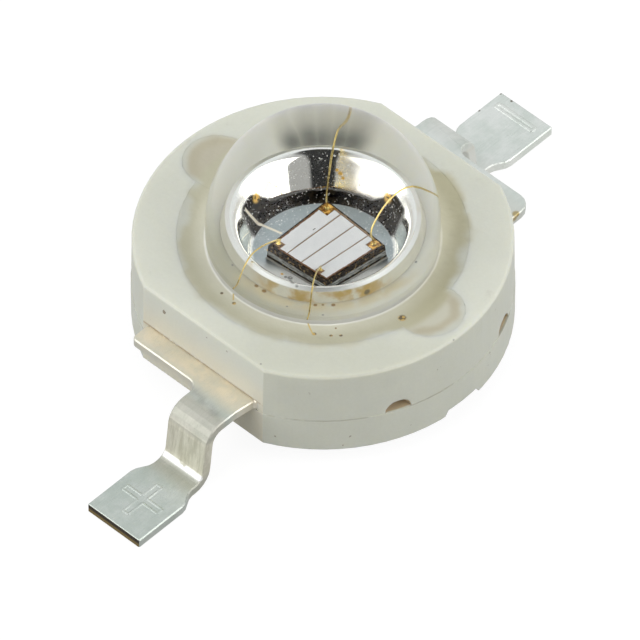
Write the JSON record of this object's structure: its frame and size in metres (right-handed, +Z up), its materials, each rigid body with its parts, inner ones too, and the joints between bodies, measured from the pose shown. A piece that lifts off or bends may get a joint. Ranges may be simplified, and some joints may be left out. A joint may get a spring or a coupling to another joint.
{
  "type": "ultraviolet led",
  "caption": "Domed high-power light emitter: round moulded body with two flats, heat slug with reflector cup, square chip and two gull-wing leads.",
  "frame": {"origin": "middle of the footprint, on the plane of the solder lands", "axes": "+X along the leads from anode to cathode, +Z up along the light's axis"},
  "size_m": [0.0146, 0.008, 0.0055],
  "materials": {
    "moulded_plastic": "milky warm grey moulded polymer, slightly translucent",
    "silver_plated_slug": "copper under bright silver plating, mirror-like in the cup",
    "silver_plated_lead": "copper alloy sheet under satin silver plating, bare copper at the cut end",
    "silver_epoxy": "silver-filled adhesive",
    "chip_crystal": "polished crystal, dark on its sides",
    "gold": "bright gold",
    "clear_silicone": "clear, very slightly yellow silicone filling",
    "clear_lens": "clear polished dome"
  },
  "bodies": {
    "root": {"housing": "moulded_plastic", "heat_slug": "silver_plated_slug", "anode_lead": "silver_plated_lead", "cathode_lead": "silver_plated_lead", "die_attach": "silver_epoxy", "led_chip": "chip_crystal", "n_contact": "gold", "p_pad_left": "gold", "p_pad_right": "gold", "bond_wire_1": "gold", "bond_wire_2": "gold", "bond_wire_3": "gold", "bond_wire_4": "gold", "silicone_gel": "clear_silicone", "lens": "clear_lens"}
  },
  "joints": []
}
